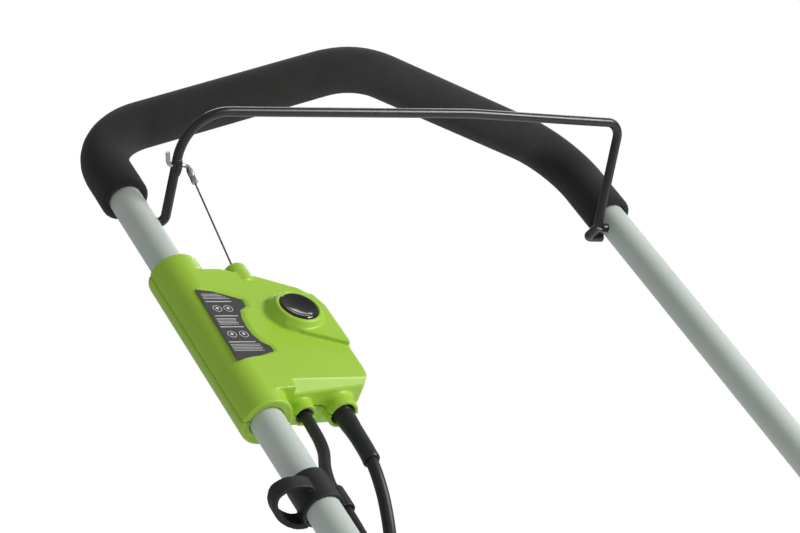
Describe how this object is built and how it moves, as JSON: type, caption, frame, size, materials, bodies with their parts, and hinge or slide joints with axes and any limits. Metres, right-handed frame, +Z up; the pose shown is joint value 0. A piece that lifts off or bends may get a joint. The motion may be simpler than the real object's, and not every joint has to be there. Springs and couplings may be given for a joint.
{
  "type": "corded electric reel mower",
  "caption": "Corded electric reel lawn mower with folding U-shaped handle, foam grip, bail lever, switch box, helical reel, two wheels and rear roller.",
  "frame": {"origin": "floor level, under the middle of the box round the mower without its loose mains cord and plug", "axes": "+X to the side (the switch box is on the -X side), +Y towards the person pushing, +Z up; the mower cuts towards -Y"},
  "size_m": [0.566, 1.172, 0.9483],
  "materials": {
    "tube_paint": "satin powder coat, pale grey-green",
    "foam": "closed-cell foam, charcoal, matt",
    "green_plastic": "moulded, bright green, semi-gloss",
    "bail_wire": "gloss black powder coat",
    "black_plastic": "moulded, satin black",
    "gloss_black": "moulded, gloss black",
    "black_rubber": "flexible cord jacket, matt black",
    "tyre": "ribbed tread, matt black",
    "label": "printed foil, dark grey",
    "bright_steel": "zinc plated or ground",
    "dark_steel": "satin dark grey paint",
    "ivory_plastic": "moulded, ivory"
  },
  "bodies": {
    "chassis": {"side_plate_left": "dark_steel", "side_plate_right": "dark_steel", "hood": "green_plastic", "tie_bar": "dark_steel", "bed_knife": "bright_steel", "bed_bar": "dark_steel", "motor": "dark_steel", "drive_belt": "black_rubber", "belt_cover": "green_plastic", "reel_bearing_left": "bright_steel", "reel_bearing_right": "bright_steel", "wheel_axle_left": "bright_steel", "wheel_axle_right": "bright_steel", "lower_handle_left": "tube_paint", "lower_handle_right": "tube_paint", "foot_bolt_left": "bright_steel", "foot_bolt_right": "bright_steel", "fold_bolt_left": "bright_steel", "fold_bolt_right": "bright_steel", "cord_clip_lower": "black_plastic", "motor_lead": "black_rubber"},
    "upper_handle": {"upper_handle_tube": "tube_paint", "foam_grip": "foam", "switch_box_cover": "green_plastic", "switch_box_base": "green_plastic", "instruction_label": "label", "microswitch": "black_plastic", "terminal_block": "ivory_plastic", "box_screw_1": "bright_steel", "box_screw_2": "bright_steel", "lead_grommet": "black_rubber", "mains_strain_relief": "black_rubber", "mains_cord": "black_rubber", "mains_plug": "black_rubber", "cord_clip_upper": "black_plastic", "pull_cable": "bright_steel", "button_spring": "bright_steel"},
    "bail": {"bail_bar": "bail_wire", "cable_hook": "bright_steel"},
    "switch_lever": {"switch_lever": "ivory_plastic"},
    "lock_button": {"lock_button": "gloss_black"},
    "fold_knob_left": {"fold_knob_left": "black_plastic"},
    "fold_knob_right": {"fold_knob_right": "black_plastic"},
    "reel": {"reel_shaft": "bright_steel", "reel_spider_1": "dark_steel", "reel_spider_2": "dark_steel", "reel_spider_3": "dark_steel", "reel_blade_1": "bright_steel", "reel_blade_2": "bright_steel", "reel_blade_3": "bright_steel", "reel_blade_4": "bright_steel", "reel_blade_5": "bright_steel", "reel_pulley": "black_plastic"},
    "motor_rotor": {"motor_pulley": "bright_steel"},
    "left_wheel": {"wheel_left": "black_plastic", "tyre_left": "tyre"},
    "right_wheel": {"wheel_right": "black_plastic", "tyre_right": "tyre"},
    "roller_carriage": {"roller_axle": "bright_steel"},
    "roller": {"rear_roller": "black_plastic"}
  },
  "joints": [
    {"name": "bail_hinge", "type": "hinge", "parent": "upper_handle", "child": "bail", "pos_m": [0, 0.4898, 0.80485], "axis": [-1, 0, 0], "range_deg": [0, 52], "stiffness_Nm_per_rad": 0.6, "springref_deg": -11.46, "deforming": ["pull_cable"]},
    {"name": "switch_lever_turn", "type": "hinge", "parent": "upper_handle", "child": "switch_lever", "pos_m": [-0.1827, 0.39631, 0.73286], "axis": [1, 0, 0], "range_deg": [0, 25]},
    {"name": "button_press", "type": "slide", "parent": "upper_handle", "child": "lock_button", "axis": [0, 0.6101, -0.7923], "range_m": [0, 0.0035], "stiffness_N_per_m": 600, "springref_m": -0.001, "deforming": ["button_spring"]},
    {"name": "handle_fold", "type": "hinge", "parent": "chassis", "child": "upper_handle", "pos_m": [0, 0.11742, 0.51809], "axis": [1, 0, 0], "range_deg": [0, 155], "deforming": ["motor_lead"]},
    {"name": "fold_knob_left_turn", "type": "hinge", "parent": "chassis", "child": "fold_knob_left", "pos_m": [0, 0.11742, 0.51809], "axis": [1, 0, 0], "continuous": true},
    {"name": "fold_knob_right_turn", "type": "hinge", "parent": "chassis", "child": "fold_knob_right", "pos_m": [0, 0.11742, 0.51809], "axis": [1, 0, 0], "continuous": true},
    {"name": "reel_spin", "type": "hinge", "parent": "chassis", "child": "reel", "pos_m": [0, -0.50795, 0.087], "axis": [1, 0, 0], "continuous": true},
    {"name": "motor_spin", "type": "hinge", "parent": "chassis", "child": "motor_rotor", "pos_m": [0, -0.42795, 0.175], "axis": [1, 0, 0], "continuous": true},
    {"name": "left_wheel_spin", "type": "hinge", "parent": "chassis", "child": "left_wheel", "pos_m": [0, -0.40295, 0.105], "axis": [1, 0, 0], "continuous": true},
    {"name": "right_wheel_spin", "type": "hinge", "parent": "chassis", "child": "right_wheel", "pos_m": [0, -0.40295, 0.105], "axis": [1, 0, 0], "continuous": true},
    {"name": "roller_height", "type": "slide", "parent": "chassis", "child": "roller_carriage", "axis": [0, 0, -1], "range_m": [0, 0.014]},
    {"name": "roller_spin", "type": "hinge", "parent": "roller_carriage", "child": "roller", "pos_m": [0, -0.28295, 0.032], "axis": [1, 0, 0], "continuous": true}
  ],
  "couplings": [
    {"joint": "switch_lever_turn", "follows": "bail_hinge", "ratio": 0.48},
    {"joint": "motor_spin", "follows": "reel_spin", "ratio": 3}
  ]
}
